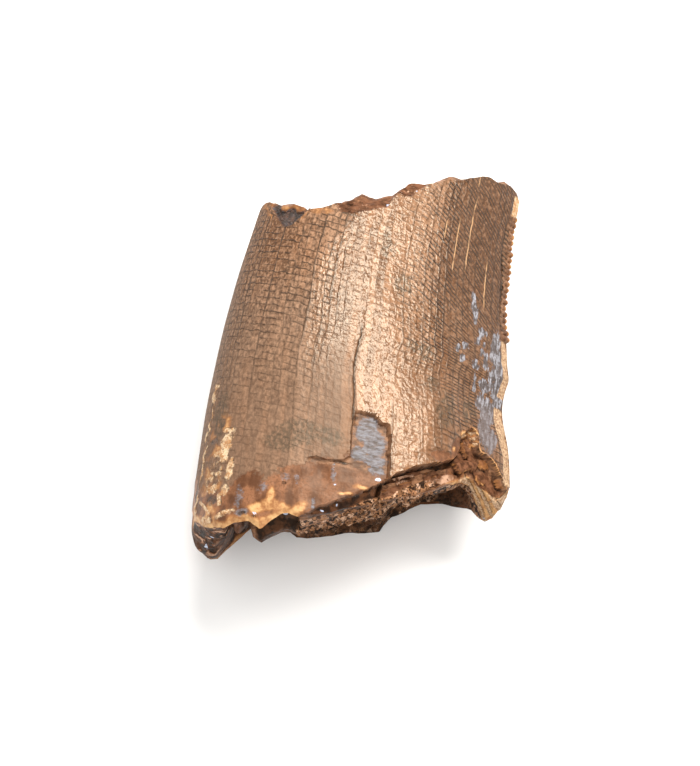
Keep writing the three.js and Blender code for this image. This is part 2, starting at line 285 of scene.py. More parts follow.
def flowing(line, at):
    """A smooth line through the same kind of points."""
    last = len(line) - 1
    i = 0
    while i < last - 1 and at > line[i + 1][0]:
        i += 1

    def slope(k):
        before, after = line[max(k - 1, 0)], line[min(k + 1, last)]
        return (after[1] - before[1]) / (after[0] - before[0])

    (x0, y0), (x1, y1) = line[i], line[i + 1]
    run = x1 - x0
    t = clamp((at - x0) / run)
    rise = (y1 - y0) * t * t * (3 - 2 * t)
    return y0 + rise + run * t * (1 - t) * (slope(i) * (1 - t) - slope(i + 1) * t)


def patch(x, y, middle_x, middle_y, half_x, half_y, lean=0):
    """1 inside an oval patch, 0 well outside it."""
    off_y = (y - middle_y) / half_y
    if abs(off_y) > 1.5:
        return 0
    off_x = (x - middle_x - lean * (y - middle_y)) / half_x
    if abs(off_x) > 1.5:
        return 0
    return fade(math.hypot(off_x, off_y), 0.5, 1.5)


def patches(x, y, spots):
    return max(patch(x, y, *spot) for spot in spots)


def fresh(across, along, **shares):
    """What a point is made of, before anything else is marked on it."""
    return {**dict.fromkeys(MASKS, 0), "across": across, "along": along, **shares}


def show(mask, name, *shares):
    """Raise one of the shares of a point."""
    mask[name] = max(mask[name], *shares)


def mesial_edge(y):
    return MESIAL_EDGE_X + MESIAL_SWEEP * (y - MESIAL_EDGE_Y) ** 2


def carina_edge(y):
    return flowing(CARINA_LINE, y)


def tongue_depth(y):
    return TONGUE_DEPTH - TONGUE_TAPER * y


def edge_height(y):
    return tongue_depth(y) - WORN_FLAT + BOW * (1 - ((y - BOW_MIDDLE) / BOW_REACH) ** 2)


def bulge(across):
    """Height of the lip side across the crown, 1 where it is highest."""
    return LIP_SCALE * across**0.5 * (1 - across) ** 0.8


def belly(across):
    """Depth of the tongue side across the crown, 1 where it is deepest."""
    power = 0.7 if across > 0.5 else 0.5
    return (1 - abs(2 * across - 1) ** TONGUE_FLATNESS) ** power


def skin(angle, y):
    """Crown surface: the carina at 0, the lip side up to half a turn, then the tongue side."""
    across = clamp((1 + math.cos(angle)) / 2)
    left = mesial_edge(y)
    x = left + (carina_edge(y) - left) * across
    if math.sin(angle) >= 0:
        height = (LIP_HEIGHT - LIP_TAPER * y) * bulge(across)
    else:
        height = -tongue_depth(y) * belly(across)
    return Vector((x, y, edge_height(y) + height))


def skin_normal(angle, y):
    step = 0.004
    round_it = skin(angle + step, y) - skin(angle - step, y)
    along_it = skin(angle, y + step) - skin(angle, y - step)
    out = along_it.cross(round_it)
    return out.normalized() if out.length > 0 else Vector((0, 0, 1))


def share_across(x, y):
    """0 at the mesial edge, 1 at the carina."""
    left = mesial_edge(y)
    return clamp((x - left) / (carina_edge(y) - left))


def lip_top(x, y):
    return edge_height(y) + (LIP_HEIGHT - LIP_TAPER * y) * bulge(share_across(x, y))


def tongue_foot(x, y):
    return max(edge_height(y) - tongue_depth(y) * belly(share_across(x, y)), 0)


def outline_gap(x, y, outline):
    """Distance to an outline, negative inside it, and the nearest point of the outline."""
    inside = False
    best = 1e9
    nearest = (x, y)
    before = outline[-1]
    for here in outline:
        (x0, y0), (x1, y1) = before, here
        run_x, run_y = x1 - x0, y1 - y0
        t = clamp(((x - x0) * run_x + (y - y0) * run_y) / (run_x**2 + run_y**2))
        near = (x0 + run_x * t, y0 + run_y * t)
        gap = (x - near[0]) ** 2 + (y - near[1]) ** 2
        if gap < best:
            best, nearest = gap, near
        if (y0 > y) != (y1 > y) and x < x0 + run_x * (y - y0) / run_y:
            inside = not inside
        before = here
    gap = math.sqrt(best)
    return (-gap if inside else gap), nearest


def path_gap(x, y, path):
    """Distance to an open path."""
    best = 1e9
    for (x0, y0), (x1, y1) in zip(path, path[1:]):
        run_x, run_y = x1 - x0, y1 - y0
        t = clamp(((x - x0) * run_x + (y - y0) * run_y) / (run_x**2 + run_y**2))
        best = min(best, math.hypot(x - x0 - run_x * t, y - y0 - run_y * t))
    return best


# ---- Broken faces ----
def wall_gaps(x, z, station):
    """How far a point of a broken face is below the lip side and above the tongue side."""
    return lip_top(x, station) - z, z - tongue_foot(x, station)


def chipping(x, z, seed):
    """Small raggedness shared by a rim and the broken face behind it."""
    return 0.09 * wander(x, z, 0.9, seed) + 0.06 * wander(x, z, 0.35, seed + 3)


def break_line(tongue_line, lip_line, x, z):
    """Where a break is: one line on the tongue side turns into another on the lip side."""
    up = smooth(z, BREAK_FOOT, BREAK_HEAD)
    return blend(ragged(tongue_line, x), ragged(lip_line, x), up)


def stony_share(x, z):
    """1 in the stone that fills the root of the tooth, 0 in the wall round it."""
    fill = ((x - 2.4) / 4.9) ** 2 + ((z - 4.9 + 0.12 * x) / 5.2) ** 2
    return fade(fill + 0.3 * wander(x, z, 1.1, 5), 0.85, 1.1)


def spur_share(x, z):
    """1 on the splintered spur by the carina."""
    return smooth(x + 0.45 * (z - 4.7), 8.2, 8.45) * smooth(z, 0.2, 1.2)


def splinter_level(x, z):
    """Level of one of the long splinters of the spur, from 0 to 1, and how near its border is."""
    place = (x + 0.45 * z + 0.1 * wander(x, z, 1.4, 17)) / SPLINTER_WIDTH
    return abs(noise.cell(Vector((math.floor(place) + 0.5, 9.5, 0.5)))), abs(place % 1 - 0.5) * 2


def canal_gap(x, z):
    """0 in the middle of the filled canal, 1 at its wall."""
    return ((x - CANAL[0]) / CANAL_HALF[0]) ** 2 + ((z - CANAL[1]) / CANAL_HALF[1]) ** 2


def basal_break(x, z, full=True):
    """Where the crown starts; not full gives only the broken line, for the rim."""
    y = break_line(BASAL_TONGUE_LINE, BASAL_LIP_LINE, x, z) + chipping(x, z, 0)
    if not full:
        return y
    under_lip, over_tongue = wall_gaps(x, z, BASAL_STATION)
    deep = smooth(min(under_lip - 0.3, over_tongue), 0.1, 0.7)
    stony = stony_share(x, z)
    stones = 0.45 * nuggets(x, 0, z, 0.7, 3) + 0.4 * nuggets(x, 0, z, 0.36, 7)
    y += deep * stony * (stones + 0.3 * wander(x, z, 1.3, 15) - 0.2)
    # lumpy dark glaze of the front corner
    glaze = fade(x, -6.9, -6.5)
    lump = fade(x, -7.9, -7.2) * bell(z, 3.6, 2.6)
    edge_near = smooth(min(under_lip - 0.4, over_tongue), 0, 0.8)
    y -= glaze * edge_near * (0.55 * lump - 0.3 + 0.16 * wander(x, z, 0.8, 19))
    y -= glaze * edge_near * 0.12 * nuggets(x, 0, z, 0.7, 23)
    # dark recess and brown facet beside it
    recess = span(x, -7.1, -6.9, -5.7, -5.3)
    facet = bell(x, -6.35, 0.3)
    y += edge_near * recess * (0.7 - 0.6 * facet)
    # glassy hollow under the golden rim
    hollow = span(x, -5.6, -4.9, -2.6, -2.2) * smooth(under_lip, 0.25, 0.5)
    y += hollow * (0.75 - 0.35 * wander(x, z, 0.8, 21)) * fade(under_lip, 2.8, 3.6)
    # splintered corner behind the carina
    spur = spur_share(x, z) * deep
    level, border = splinter_level(x, z)
    y -= spur * (0.34 * level - 0.12 * smooth(border, 0.7, 1))
    # hollows
    y += bell(x, -4.6, 1) * bell(under_lip, 1.6, 1.2)
    y += 1.2 * bell(x + 0.3 * (z - 3), 7.3, 0.9) * bell(z, 2.9, 1.4) * smooth(over_tongue, 0.2, 1.3)
    y += 0.6 * bell(x, 6, 1.6) * bell(over_tongue, 1.2, 0.8)
    y += 0.5 * bell(x, -0.4, 2.2) * bell(over_tongue, 1.3, 0.7)
    return y


def apical_break(x, z, full=True):
    """Where the crown ends; not full gives only the broken line, for the rim."""
    y = break_line(APICAL_TONGUE_LINE, APICAL_LIP_LINE, x, z) + chipping(x, z, 20)
    if not full:
        return y
    under_lip, over_tongue = wall_gaps(x, z, APICAL_STATION)
    deep = smooth(min(under_lip, over_tongue), 0.1, 0.8)
    facets = nuggets(x, 8, z, 2.2)
    y += deep * (0.35 * wander(x, z, 1.7, 22) + 0.5 * facets + 0.06 * wander(x, z, 0.4, 25))
    y -= 0.5 * fade(canal_gap(x, z), 0.5, 1.1)
    return y


def rim(angle, surface, start):
    """Where a column of the crown meets a break."""
    y = start
    for _ in range(RIM_PASSES):
        point = skin(angle, y)
        y = (y + surface(point.x, point.z, False)) / 2
    return y


# ---- Skin of the crown ----
def shards(x, y):
    """Chip of the broken wall: its level from 0 to 1, how near its border is, and the place up it."""
    bend = 0.35 * wander(x, y, 0.9, 46)
    lean = 0.55 if x < 7 else -0.9
    long_way = (x + lean * y) / 1.1 + bend
    short_way = (y - lean * x) / 0.42 + 1.6 * bend
    level = abs(noise.cell(Vector((math.floor(long_way) + 0.5, math.floor(short_way) + 0.5, 4.5))))
    border = 2 * max(abs(long_way % 1 - 0.5), abs(short_way % 1 - 0.5))
    return level, border, short_way % 1


def broken_corner(x, y, depth, mask):
    """Depth with the larger pieces of the corner between shelf and carina, each with a painted shadow
    just outside its lower left edge.
    """
    for outline, sunk, shown, share in CORNER_PIECES:
        gap, near = outline_gap(x, y, outline)
        if gap < 0:
            piece = sunk + 0.02 * wander(x, y, 0.5, 48)
            depth = blend(depth, piece, smooth(-gap, 0, 0.08))
            mask["tar"] *= fade(-gap, 0, 0.08)
            mask.update(pale=0, golden=0, brown=0.8)
            mask[shown] = share
            if shown == "brown" and x + y > near[0] + near[1]:
                mask["golden"] = 0.8 - 0.8 * smooth(-gap, 0.05, 0.13)
        # painted shadow cast by the raised piece onto its lower left
        elif gap < 0.22 and x + y < near[0] + near[1]:
            show(mask, "tar", 0.8 * (1 - gap / 0.22))
            mask["golden"] = 0
    return depth


def splinter_lines(x, y, mask):
    """Depth of the crack and the ridge that run along the splinters by the carina."""
    if x <= 7.4:
        return 0
    ridge = bell(path_gap(x, y, SPLINTER_RIDGE), 0, 0.09)
    crack = bell(path_gap(x, y, SPLINTER_CRACK), 0, 0.08)
    show(mask, "golden", 0.7 * ridge)
    mask["tar"] = max(mask["tar"] * (1 - ridge), 0.8 * crack)
    return 0.25 * crack - 0.2 * ridge


def crumbled_edge(x, y, inward, mask):
    """Height of the crumbs left along the upper edge of the corner; their crests get a painted
    highlight and their pits painted shade.
    """
    crumbs = smooth(x, 7.2, 7.5) * fade(inward, 0.3, 0.5) * smooth(y, -3.5, -3)
    crinkle = wander(x, y, 0.26, 49)
    show(mask, "golden", 0.7 * crumbs * smooth(crinkle, -0.3, 0.1))
    mask["bare"] = crumbs * smooth(crinkle, 0.1, 0.3)
    show(mask, "tar", 0.7 * crumbs * smooth(-crinkle, 0.15, 0.35))
    return crumbs * (0.2 + 0.22 * crinkle)


def shelf_floor(x, y, inward, mask):
    """Depth of the broken shelf in front of the enamel, and what shows there."""
    glassy = 0.32 + 0.6 * inward + 0.12 * nuggets(x, y, 0, 0.5, 41)
    level, border, rise = shards(x, y)
    right = smooth(x, 2.75, 3)
    corner = smooth(x, 6.8, 7.2)
    inner = smooth(inward, 0.25, 0.4)
    chips = (0.3 * level + 0.1 * smooth(border, 0.8, 1)) * (1 - 0.6 * corner)
    depth = blend(glassy, 0.5 + 0.12 * min(inward, 1.5) + chips, right)
    slit = bell(x, 2.62, 0.09) * span(inward, 0.05, 0.15, 0.55, 0.7)
    # painted shade along the foot of the enamel edge
    shade = fade(inward, 0.14 + 0.14 * smooth(x, 5, 6.8), 0.26 + 0.2 * smooth(x, 5, 6.8))
    shade *= 1 - 0.6 * corner
    mask.update(enamel=0, layered=1)
    mask["tar"] = blend(0.8 - 0.6 * smooth(inward, 0.5, 0.8), 0.9 * shade, right)
    mask["crystal"] = (1 - right) * smooth(inward, 0.5, 0.8)
    show(mask, "crystal", right * smooth(inward, 0.8, 1.1) * fade(x, 5.8, 6.8))
    mask["brown"] = right * smooth(level, 0.2, 0.4)
    mask["pale"] = right * 0.45 * smooth(level, 0.72, 0.85) * inner
    show(mask, "tar", right * (0.5 - 0.25 * corner) * smooth(border, 0.82, 1))
    mask["golden"] = right * 0.5 * smooth(rise, 0.72, 0.9) * smooth(level, 0.4, 0.6) * inner
    depth = broken_corner(x, y, depth, mask)
    depth += splinter_lines(x, y, mask)
    depth -= crumbled_edge(x, y, inward, mask)
    mask["glint"] = patches(x, y, PAINTED_GLINTS)
    show(mask, "tar", slit)
    return depth + 0.8 * slit


def window_floor(x, y, inward, mask):
    """Depth of the flaked window and of the hollow below it, where the dentine shows."""
    up = smooth(y, -7, -6.5)
    sides = smooth(x, -2.5, -1.3)
    depth = blend(0.16 * sides, 0.17, up)
    depth += 0.2 * bell(x, -1.3, 0.55) * bell(y, -7.2, 0.75)
    depth -= 0.12 * bell(x, -0.5 - 0.1 * (y + 7), 0.2) * bell(y, -7.4, 0.8)
    depth += 0.04 * wander(x, y, 0.9, 51) + 0.02 * up * wander(x, y * 2.2, 0.5, 53)
    mask.update(enamel=0, dentine=1 - up, layered=0.7 * up)
    smoke = patches(x + 0.1 * wander(x, y, 0.5, 54), y, SMOKY)
    mask["smoky"] = smoke if up > 0.5 else 0.55 * smoke
    mask["glint"] = patches(x, y, PAINTED_GLINTS)
    # painted shade along the upper and right edges of the window and under the ledge
    edge_shade = fade(inward, 0.03, 0.12) * smooth(y, -8, -7) * smooth(x, 0, 0.4)
    ledge_shade = bell(y + 6.42, -0.1, 0.1) * span(x, -0.8, -0.5, 0.3, 0.5)
    show(mask, "tar", 0.75 * edge_shade, 0.9 * ledge_shade)
    mask["brown"] = bell(x, -1.3, 0.5) * bell(y, -7.2, 0.7)
    return depth


def notch_floor(x, y, inward, mask):
    """Depth of the grey notch by the apical break."""
    cap = smooth(y, 11.6, 11.9) * smooth(wander(x, y, 0.8, 55), -0.2, 0.1)
    mask.update(enamel=0, brown=1, golden=0.5 * cap, smoky=0.6 * (1 - cap), tar=0.58 * (1 - cap))
    return 0.38 + 0.08 * wander(x, y, 0.4, 57) - 0.15 * cap


def flake_floor(x, y, inward, mask):
    """Depth of the flake in the middle of the apical break."""
    mask.update(enamel=0, layered=1, brown=0.9, crystal=0.32)
    # painted highlight along the rim of the flake, carried by the golden share
    lit_rim = fade(inward, 0.02, 0.16) * smooth(x, -1, -0.4)
    mask["golden"] = max(0.4 * mask["golden"], 0.35 * lit_rim)
    mask["tar"] = 0.45 * bell(x, -1.9, 0.5) + 0.6 * bell(x, 1.2, 0.2)
    mask["glint"] = patches(x, y, PAINTED_GLINTS)
    return 0.26 + 0.2 * smooth(inward, 0.2, 1.2) + 0.1 * wander(x, y, 0.7, 59)


FLAKES = (
    (WINDOW, window_floor),
    (FRONT_SHELF, shelf_floor),
    (GREY_NOTCH, notch_floor),
    (TIP_FLAKE, flake_floor),
)


def reach(outline):
    """The box in which points can be close to an outline."""
    xs, ys = zip(*outline)
    return min(xs) - REACH_ROUND, max(xs) + REACH_ROUND, min(ys) - REACH_ROUND, max(ys) + REACH_ROUND


REACH = {outline: reach(outline) for outline, _ in FLAKES}


def serration(y, edge_gap, mask):
    """How far a point of the saw edge stands out; also marks its tips and gaps."""
    place = (y - SERRATION_START) / SERRATION_PITCH
    if not 0 <= place < SERRATION_COUNT or edge_gap > 0.5:
        return 0
    near = fade(edge_gap, 0.05, 0.42)
    knob = 1 - abs(2 * (place % 1) - 1) ** 2.5
    tall = 0.85 + 0.3 * noise.cell(Vector((math.floor(place), 3, 0)))
    show(mask, "golden", near * knob * smooth(-edge_gap, -0.2, 0))
    show(mask, "tar", 0.55 * near * fade(knob, 0, 0.6))
    show(mask, "layered", near)
    return near * (SERRATION_OUT * tall * knob - 0.05)


def tipped_slab(x, y, across):
    """Height of the slab beside the long crack; its lower part tips towards the front edge."""
    crack = -0.2 + 0.4 * smooth(y, 1, 8)
    slab = smooth(across, crack - 0.05, crack + 0.05) * fade(across, 1, 4)
    height = 0.07 * slab * fade(y, 4.5, 6.5)
    return height + 0.36 * span(x, 0.2, 5.8, 5.8, 7.8) * fade(y, -1.5, 3.5)


def carina_groove(y, edge_gap, mask):
    """Height of the groove beside the serrations."""
    groove_gap = 0.3 + 0.14 * smooth(y, 9, 12)
    groove = bell(edge_gap, groove_gap, 0.07) * span(y, 4.8, 6.5, 13.5, 15)
    show(mask, "tar", groove * (0.35 + 0.5 * bell(y, 9.6, 1.8)))
    return -0.12 * groove


def leached_enamel(x, y, mask):
    """Height of the roughened, leached enamel by the carina."""
    stray_x, stray_y = 0.12 * wander(x, y, 0.6, 61), 0.2 * wander(x, y, 0.6, 63)
    leached = patches(x + stray_x, y + stray_y, LEACHED)
    mask["leached"] = leached
    return -0.05 * leached * (0.7 + wander(x * 1.6, y * 0.7, 0.35, 65))


def broken_carina(x, y, edge_gap, mask):
    """Height of the pale broken edge where serrations are lost, and of the strip below it."""
    ragged_edge = edge_gap + 0.1 * wander(x, y, 0.8, 67)
    lost = fade(ragged_edge, 0.3, 0.42) * span(y, 1, 1.3, 5.2, 5.5)
    strip_width = 0.4 + 0.25 * bell(y, -0.8, 1.3) + 0.1 * smooth(-y, 3, 4.5)
    strip = fade(ragged_edge, strip_width - 0.08, strip_width + 0.08) * fade(y, 0.2, 0.5)
    bare = max(lost, strip * smooth(y, -5.4, -4.6))
    mask["bare"] = bare
    mask["leached"] *= 1 - bare
    mask["matrix"] = fade(edge_gap, 0.36, 0.44) * span(y, 14.9, 15.1, 16.4, 16.9)
    return -0.09 * bare * (0.7 + wander(x, y, 0.5, 69))


def front_crust(x, y, stray, mask):
    """Height of the matrix still stuck to the front edge."""
    crust = patches(x + stray, y - stray, MATRIX)
    ring = math.hypot((x + 8.25) / 0.62, y + 7.65)
    crust = max(crust, 0.6 * bell(ring, 0.8, 0.22) * fade(ring, 1, 1.3))
    show(mask, "matrix", crust)
    return 0.06 * crust * (0.8 + wander(x, y, 0.35, 73))


def worn_foot(x, y, stray, mask):
    """Height of the worn enamel by the basal break, thin over the dentine, with a golden rim."""
    basal_gap = y - ragged(BASAL_LIP_LINE, x)
    top = 3.6 + 0.9 * wander(x, y, 1.4, 75) - 1.2 * smooth(-x, 5.5, 8)
    margin = max(patch(x, y, 6.3, -4.7, 0.9, 0.4, 0.4), patch(x, y, 7.1, -3.7, 0.35, 0.8, 0.2))
    dentine = max(fade(basal_gap, top - 0.9, top + 0.4) * fade(x, 1, 2.6), margin)
    rounding = fade(basal_gap, 0, 0.5) * fade(x, -2.4, -1.9)
    dust = bell(x, -8.3, 0.95) * smooth(-y, 2.5, 4.5)
    dust *= smooth(wander(x * 1.5, y, 0.8, 97), -0.15, 0.4)
    rim_width = 0.75 + 0.4 * wander(x, y, 0.9, 79)
    rim_gold = fade(basal_gap, 0.2, rim_width) * fade(x, -2.5, -1.8)
    flecks = (0.9 - 0.35 * smooth(y, 5, 8)) * patches(x + stray, y + stray, GOLDEN)
    mask["dentine"] = dentine
    show(mask, "golden", 0.85 * dust, 0.85 * rim_gold, flecks)
    return 0.06 * dentine * wander(x, y, 1.1, 77) - 0.14 * margin - 0.16 * rounding * rounding


def lip_relief(x, y, across, edge_gap, mask):
    """Height of the lip side over the plain skin, and what shows there."""
    stray = 0.16 * wander(x, y, 0.5, 71)
    height = tipped_slab(x, y, across)
    height += carina_groove(y, edge_gap, mask)
    height += leached_enamel(x, y, mask)
    height += broken_carina(x, y, edge_gap, mask)
    height += front_crust(x, y, stray, mask)
    height += worn_foot(x, y, stray, mask)
    mask["stained"] = patches(x + 2 * stray, y - stray, STAINED)
    mask["smoky"] = 0.5 * mask["dentine"] * patches(x + stray, y, SMOKY)
    show(mask, "tar", 0.62 * patches(x, y, DARK_SPOTS))
    mask["glint"] = patches(x, y, PAINTED_GLINTS)
    return height


def tongue_relief(x, y, across, mask):
    """Height of the hidden side over the plain skin, and what shows there."""
    crack = bell(across, -2.2 + 0.25 * wander(0, y, 3, 81), 0.12)
    spalled = smooth(patch(x, y, 5.4, 5, 1.8, 1.3) + 0.4 * wander(x, y, 0.8, 83), 0.45, 0.6)
    crust = smooth(patch(x, y, -6, 2, 2.4, 3.6) * (0.8 + wander(x, y, 0.9, 85)), 0.45, 0.65)
    near_break = min(y - ragged(BASAL_TONGUE_LINE, x), 4) / 4
    # painted shade under the arch
    under_arch = smooth(bell(x, 7.4, 1), 0.1, 0.6) * fade(near_break, 0.15, 0.45)
    dentine = fade(near_break + 0.3 * wander(x, y, 1.3, 87), 0.2, 0.7) * (1 - under_arch)
    stained = patch(x, y, -1, -3, 2.5, 2.5)
    mask.update(tar=0.95 * under_arch, dentine=dentine, leached=spalled, matrix=crust, stained=stained)
    return 0.06 * crust - 0.06 * crack - 0.22 * spalled


def flaked(here, y, height, mask):
    """Height once the flakes are off; a point close to the edge of a flake is moved onto it."""
    x = here.x
    stray_x = x + 0.09 * wander(x, y, 0.7, 31) + 0.05 * wander(x, y, 0.25, 32)
    stray_y = y + 0.09 * wander(x, y, 0.7, 33) + 0.05 * wander(x, y, 0.25, 34)
    for outline, floor in FLAKES:
        low_x, high_x, low_y, high_y = REACH[outline]
        if not (low_x < x < high_x and low_y < y < high_y):
            continue
        gap, near = outline_gap(stray_x, stray_y, outline)
        if outline is FRONT_SHELF and 0 <= gap < 0.15 and x > 2:
            show(mask, "golden", fade(gap, 0.04, 0.13) * max(smooth(x, 7.6, 8), 0.45))
        if abs(gap) < EDGE_SNAP:
            here.x += near[0] - stray_x
            here.y += near[1] - stray_y
        elif gap < 0:
            height = min(height, 0) - floor(x, y, -gap, mask)
    return height


def crown_point(angle, y, place):
    """A point of the worn, chipped crown and what it is made of there."""
    here = skin(angle, y)
    out = skin_normal(angle, y)
    across = 20 * clamp((1 + math.cos(angle)) / 2) - 10
    x = here.x
    edge_gap = carina_edge(y) - x
    mask = fresh(place, y, enamel=1)
    height = 0.05 * wander(x, y, 4.5, 1, here.z) + 0.018 * wander(across * 4, y * 0.5, 3, 2)
    saw = serration(y, edge_gap, mask)
    if math.sin(angle) <= 0:
        height += tongue_relief(x, y, across, mask)
    else:
        height = flaked(here, y, height + lip_relief(x, y, across, edge_gap, mask), mask)
    point = here + out * height
    point.x += saw
    point.z = max(point.z, 0)
    return point, mask


def face_shade(x, z, over_tongue):
    """How much painted shade lies on the lower part of the basal face."""
    foot = bell(x, 0.4, 2.6) * bell(over_tongue, 1.4, 1.1)
    arch = bell(x + 0.3 * (z - 3), 7.3, 1.1) * bell(z, 2.2, 1.8)
    beside = bell(x, 5.4, 1.5) * bell(over_tongue, 1.2, 0.8)
    under = bell(x, 7.2, 1.5) * fade(z, 2.4, 4.4)
    return max(foot, arch, beside, under, 0.6 * fade(z, 1.5, 3.5))


def basal_point(x, z, edge):
    """A point of the basal face and what it is made of there."""
    y = basal_break(x, z)
    under_lip, over_tongue = wall_gaps(x, z, BASAL_STATION)
    stray = 0.15 * wander(x, z, 0.5, 93)
    spur = spur_share(x, z) * smooth(under_lip, 0.4, 0.7)
    level, border = splinter_level(x, z)
    glaze = fade(x + 0.4 * wander(x, z, 0.7, 91), -6.9, -6.5)
    worn_through = smooth(wander(x, z, 0.5, 97) + 0.5 * wander(x, z, 0.2, 99), 0.05, 0.3)
    recess = span(x, -7, -6.7, -5.7, -5.4)
    facet = smooth(bell(x, -6.35, 0.3), 0.3, 0.5) * smooth(z, 5.5, 6.5)
    seam = x + 0.4 * wander(x, z, 0.9, 95)
    hollow = smooth(x, -5.4, -4.9) * fade(seam, -2.8, -2.1) * (1 - 0.4 * smooth(under_lip, 2.6, 4.5))
    filled = smooth(under_lip, 1.1, 1.3) * smooth(seam, -3, -2.2)
    band = span(x, -2, -1.6, 1.6, 2.4) * fade(under_lip + stray, 1, 1.3)
    orange_foot = fade(over_tongue + stray, 0.12, 0.5) * max(fade(x, -6.5, -5.5), smooth(x, 8.8, 9.3))
    # the glaze and the band are dark in their own right; the recess and the hollow get painted shade
    tar = max(0.75 * glaze * (1 - worn_through), recess * (1 - facet), hollow, 0.75 * band)
    tar = max(tar, face_shade(x, z, over_tongue)) * (1 - spur) * (1 - 0.8 * orange_foot)
    mask = fresh(
        x, edge.y + z - edge.z, layered=1,
        crystal=max(stony_share(x, z), filled) * (1 - spur),
        brown=max(facet, 0.8 * glaze, 0.6 * spur * fade(x, 8.2, 8.9)),
        tar=max(tar, 0.6 * spur * smooth(border, 0.78, 0.98)),
        golden=max(0.7 * orange_foot, 0.85 * spur),
        bare=spur * smooth(level, 0.6, 0.75),
        pale=max(spur, 0.6 * glaze * worn_through),
        glint=patches(x, z, FACE_PAINTED_GLINTS),
    )
    return Vector((x, y, max(z, 0))), mask


def apical_point(x, z, edge):
    """A point of the apical face, with growth lines in its wall, and what it is made of there."""
    gap = min(wall_gaps(x, z, APICAL_STATION))
    stray = 2.2 * wander(x, edge.z - z, 1.6, 27) + 1.2 * wander(x, z, 0.6, 28)
    growth = math.sin(3.4 * gap + stray)
    mask = fresh(
        x, edge.y - z + edge.z, layered=1,
        crystal=fade(canal_gap(x, z), 0.7, 1.1),
        brown=0.55 * smooth(growth, -0.4, 0.9) * smooth(gap, 0.3, 0.7),
        pale=0.5 * smooth(-growth, 0.2, 0.9) * smooth(gap, 0.5, 1),
        golden=0.85 * fade(gap, 0.2, 0.4),
    )
    return Vector((x, apical_break(x, z), max(z, 0))), mask


def cavity_point(x, y, z, depth):
    """A point of the open end of the pulp cavity and what it is made of there."""
    rough = 0.16 * wander(x, y, 0.8, 95, z)
    # painted shade, darker deeper in the cavity
    mask = fresh(x, y, layered=1, crystal=0.7, tar=0.4 + 0.4 * depth)
    return Vector((x + rough, y, z + rough)), mask


def column_angles():
    lip = [math.pi * i / LIP_COLUMNS for i in range(LIP_COLUMNS)]
    tongue = [math.pi + math.pi * i / TONGUE_COLUMNS for i in range(TONGUE_COLUMNS)]
    return lip + tongue


def girth_places(angles):
    """Place of each column in the crazing: straight across the lip side, then along the skin."""
    places = []
    before = skin(angles[0], GIRTH_Y)
    for angle in angles:
        flat = 10 * math.cos(angle)
        here = skin(angle, GIRTH_Y)
        on_lip = math.sin(angle) >= 0 and flat > GIRTH_FROM
        places.append(flat if on_lip else places[-1] - (here - before).length)
        before = here
    return places


def crown_rings(angles):
    """Rings of the crown, from the basal break to the apical one."""
    places = girth_places(angles)
    ends = [(rim(a, basal_break, BASAL_START), rim(a, apical_break, APICAL_START)) for a in angles]
    rings = []
    for row in range(CROWN_ROWS + 1):
        part = row / CROWN_ROWS
        rings.append([
            crown_point(a, blend(low, high, part), place)
            for a, place, (low, high) in zip(angles, places, ends)
        ])
    return rings


def cavity_rings(mouth):
    """Rings of the open end of the pulp cavity, from its bottom to its mouth."""
    rings = []
    for row in range(CAVITY_ROWS):
        wide = (row / CAVITY_ROWS) ** CAVITY_ROUNDNESS
        depth = 1 - row / CAVITY_ROWS
        ring = []
        for mouth_x, mouth_z in mouth:
            x, z = blend(PULP[0], mouth_x, wide), blend(PULP[1], mouth_z, wide)
            y = blend(basal_break(mouth_x, mouth_z), PULP_END_Y, depth)
            ring.append(cavity_point(x, y, z, depth))
        rings.append(ring)
    return rings


def face_ring(rim_ring, inner, part, point_at):
    """A ring of a broken face, part of the way from its rim to the points inside it."""
    return [
        point_at(blend(edge.x, x, part), blend(edge.z, z, part), edge)
        for (edge, _), (x, z) in zip(rim_ring, inner)
    ]


def tooth_rings():
    """Every ring of the closed skin, from the bottom of the pulp cavity to the filled canal."""
    angles = column_angles()
    crown = crown_rings(angles)
    mouth = [
        (PULP[0] + PULP_HALF[0] * math.cos(a), PULP[1] + PULP_HALF[1] * math.sin(a)) for a in angles
    ]
    canal = [CANAL] * len(angles)
    rings = cavity_rings(mouth)
    for row in range(BASAL_ROWS):
        part = (1 - row / BASAL_ROWS) ** RIM_CROWDING
        rings.append(face_ring(crown[0], mouth, part, basal_point))
    rings += crown
    for row in range(1, APICAL_ROWS + 1):
        rings.append(face_ring(crown[-1], canal, row / APICAL_ROWS, apical_point))
    return rings


def build_tooth(name):
    """The closed mesh: a sphere whose rows and columns are moved to the rings of the tooth."""
    rings = tooth_rings()
    columns, rows = len(rings[0]), len(rings) - 1
    bm = bmesh.new()
    bmesh.ops.create_uvsphere(bm, u_segments=columns, v_segments=rows, radius=1)
    layers = {mask: bm.verts.layers.float.new(mask) for mask in MASKS}
    for vert in bm.verts:
        row = round(math.acos(clamp(vert.co.z, -1, 1)) / math.pi * rows)
        turn = math.atan2(vert.co.y, vert.co.x) / (2 * math.pi)
        column = round(turn * columns) % columns
        point, mask = rings[row][column]
        vert.co = point
        for key, layer in layers.items():
            vert[layer] = mask[key]
    for face in bm.faces:
        wall = min(vert[layers["layered"]] for vert in face.verts)
        face.material_index = int(wall > FACE_LAYERED)
    bmesh.ops.recalc_face_normals(bm, faces=bm.faces)
    mesh = bpy.data.meshes.new(name)
    bm.to_mesh(mesh)
    bm.free()
    return mesh


def placing():
    """Metres from the plan to the row frame, where the solid has its middle."""
    low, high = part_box(NODE)
    return Vector((
        (low[0] + high[0]) / 2 - MM * PLAN_MIDDLE[0],
        (low[1] + high[1]) / 2 - MM * PLAN_MIDDLE[1],
        low[2],
    ))


def settle(mesh, shift):
    """Move a mesh from the plan to the row frame."""
    for vert in mesh.vertices:
        vert.co = vert.co * MM + shift


